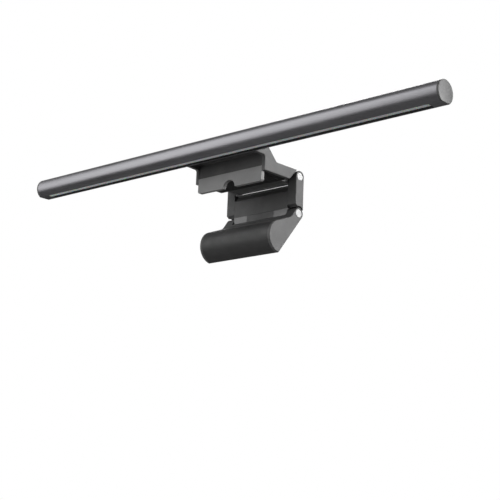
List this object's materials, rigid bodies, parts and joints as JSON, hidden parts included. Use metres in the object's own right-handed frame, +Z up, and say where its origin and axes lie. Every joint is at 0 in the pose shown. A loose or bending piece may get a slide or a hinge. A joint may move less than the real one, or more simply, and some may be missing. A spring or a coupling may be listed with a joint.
{
  "type": "monitor light bar",
  "caption": "Slim downward-shining lamp bar on a counterweighted clamp that hangs on the top edge of a screen.",
  "frame": {"origin": "centre of the rest pad's underside, the face that stands on the screen's top edge", "axes": "+X along the lamp bar, to the right for someone facing the screen's back; -Y towards the user in front of the screen, +Z up"},
  "size_m": [0.45, 0.076, 0.0958],
  "materials": {
    "bar_anodised": "space grey, satin anodised, fine blasted grain",
    "cap_plastic": "grey moulded plastic, fine matt texture",
    "diffuser_milky": "milky light diffuser, smooth satin",
    "shield_black": "black light shield, matt",
    "board_green": "circuit board with solder resist",
    "led_white": "phosphor LED packages",
    "touch_gloss": "glossy dark touch window",
    "bracket_grey": "dark grey moulded plastic, fine matt texture",
    "panel_black": "near-black moulded plastic, matt",
    "hook_grey": "dark grey moulded plastic, matt",
    "rubber_black": "soft black rubber, matt",
    "pin_silver": "bright turned steel",
    "hinge_grey": "sintered steel, satin grey",
    "steel_plain": "plain steel",
    "screw_steel": "blackened steel screws",
    "socket_steel": "nickel-plated steel shell",
    "anchor_steel": "zinc-plated steel"
  },
  "bodies": {
    "root": {"bar_tube": "bar_anodised", "end_cap_left": "cap_plastic", "end_cap_right": "cap_plastic", "diffuser": "diffuser_milky", "glare_shield": "shield_black", "led_board": "board_green", "leds": "led_white", "touch_window": "touch_gloss", "control_board": "board_green", "anchor_block": "anchor_steel", "bar_screws": "screw_steel", "bracket_body": "bracket_grey", "front_cover": "panel_black", "hook_plate": "hook_grey", "hook_pad": "rubber_black", "rest_pad": "rubber_black", "underside_cover": "panel_black", "cover_screws": "screw_steel", "usb_socket": "socket_steel", "power_board": "board_green"},
    "link": {"link_frame": "bracket_grey", "link_cover": "bracket_grey", "torque_hinge_left": "hinge_grey", "torque_hinge_right": "hinge_grey", "link_screws": "screw_steel", "upper_pin_left": "pin_silver", "upper_pin_right": "pin_silver"},
    "arm": {"arm_body": "bracket_grey", "arm_side_left": "bracket_grey", "arm_side_right": "bracket_grey", "weight_bar": "steel_plain", "contact_sleeve": "rubber_black", "lower_pin_left": "pin_silver", "lower_pin_right": "pin_silver"}
  },
  "joints": [
    {"name": "upper_hinge", "type": "hinge", "parent": "root", "child": "link", "pos_m": [0, 0.0285, 0.0055], "axis": [1, 0, 0], "range_deg": [-20, 90]},
    {"name": "lower_hinge", "type": "hinge", "parent": "link", "child": "arm", "pos_m": [0, 0.0285, -0.0265], "axis": [1, 0, 0], "range_deg": [-30, 90]}
  ]
}
